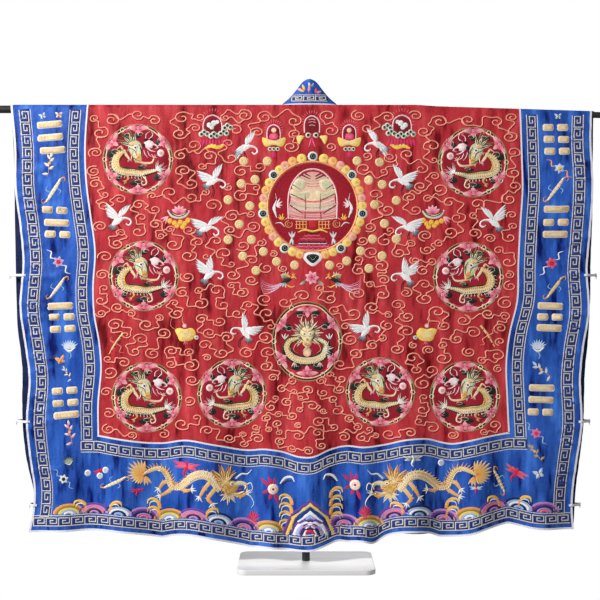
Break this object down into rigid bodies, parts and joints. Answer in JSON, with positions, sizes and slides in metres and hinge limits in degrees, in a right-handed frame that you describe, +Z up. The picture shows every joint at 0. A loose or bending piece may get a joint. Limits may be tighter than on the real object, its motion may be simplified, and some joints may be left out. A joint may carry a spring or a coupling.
{
  "type": "taoist priest robe on a display stand",
  "caption": "Embroidered red and blue satin Taoist priest robe, back view, hung over the crossbar of a T-shaped display stand.",
  "frame": {"origin": "on the floor, midway between the ends of the crossbar and under its axis", "axes": "+Z up, +X along the crossbar to the right as the back of the robe is seen, -Y towards the viewer of the back"},
  "size_m": [1.92, 0.3, 1.5172],
  "materials": {
    "red_satin": "satin weave with couched silk and gold thread",
    "blue_satin": "satin weave with couched silver thread",
    "white_binding": "plain weave",
    "black_tube": "semi-gloss",
    "white_base": "satin"
  },
  "bodies": {
    "root": {"back_ground_left": "red_satin", "back_ground_right": "red_satin", "front_ground_left": "red_satin", "front_ground_right": "red_satin", "back_border_left": "blue_satin", "back_border_right": "blue_satin", "back_border_hem": "blue_satin", "front_border_left": "blue_satin", "front_border_right": "blue_satin", "front_border_hem_left": "blue_satin", "front_border_hem_right": "blue_satin", "front_band_left": "blue_satin", "front_band_right": "blue_satin", "collar": "blue_satin", "back_piping_left": "white_binding", "back_piping_right": "white_binding", "back_piping_hem": "white_binding", "back_binding_left": "white_binding", "back_binding_right": "white_binding", "back_binding_hem": "white_binding", "collar_piping": "white_binding", "tie_left_1": "white_binding", "tie_left_2": "white_binding", "tie_left_3": "white_binding", "tie_right_1": "white_binding", "tie_right_2": "white_binding", "tie_right_3": "white_binding", "crossbar": "black_tube", "crossbar_extension": "black_tube", "post": "black_tube", "base": "white_base"}
  },
  "joints": []
}
